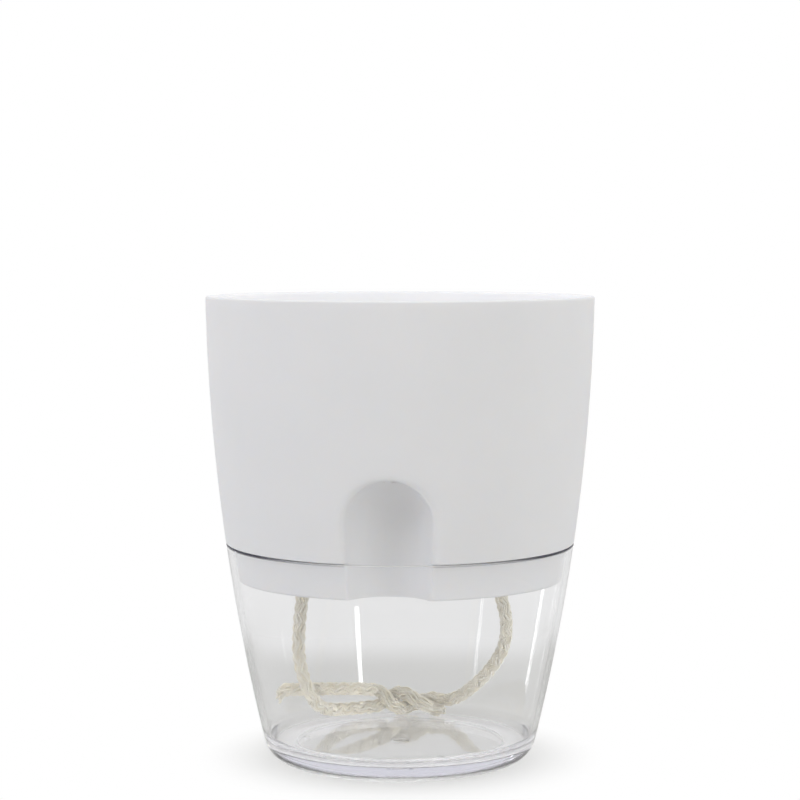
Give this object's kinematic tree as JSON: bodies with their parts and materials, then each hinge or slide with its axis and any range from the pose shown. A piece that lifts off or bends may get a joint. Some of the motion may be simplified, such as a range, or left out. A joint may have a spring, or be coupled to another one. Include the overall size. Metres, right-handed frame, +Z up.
{
  "type": "self-watering cachepot",
  "caption": "Round tapered flower pot that plugs into a clear water reservoir, with a filling scoop in its front and a cotton wick hanging in the water.",
  "frame": {"origin": "on the table, under the middle of the pot", "axes": "+Z up along the pot's axis, the filling scoop faces -Y, +X to the right seen from the scoop's side"},
  "size_m": [0.13, 0.13, 0.156],
  "materials": {
    "clear_plastic": "clear polished moulding",
    "white_plastic": "satin moulded white",
    "cotton": "braided natural cotton"
  },
  "bodies": {
    "reservoir": {"reservoir": "clear_plastic"},
    "pot": {"pot": "white_plastic", "wick_bridge": "cotton", "wick_left_leg": "cotton", "wick_right_leg": "cotton"}
  },
  "joints": [
    {"name": "pot_lift", "type": "slide", "parent": "reservoir", "child": "pot", "axis": [0, 0, 1], "range_m": [0, 0.075]}
  ]
}
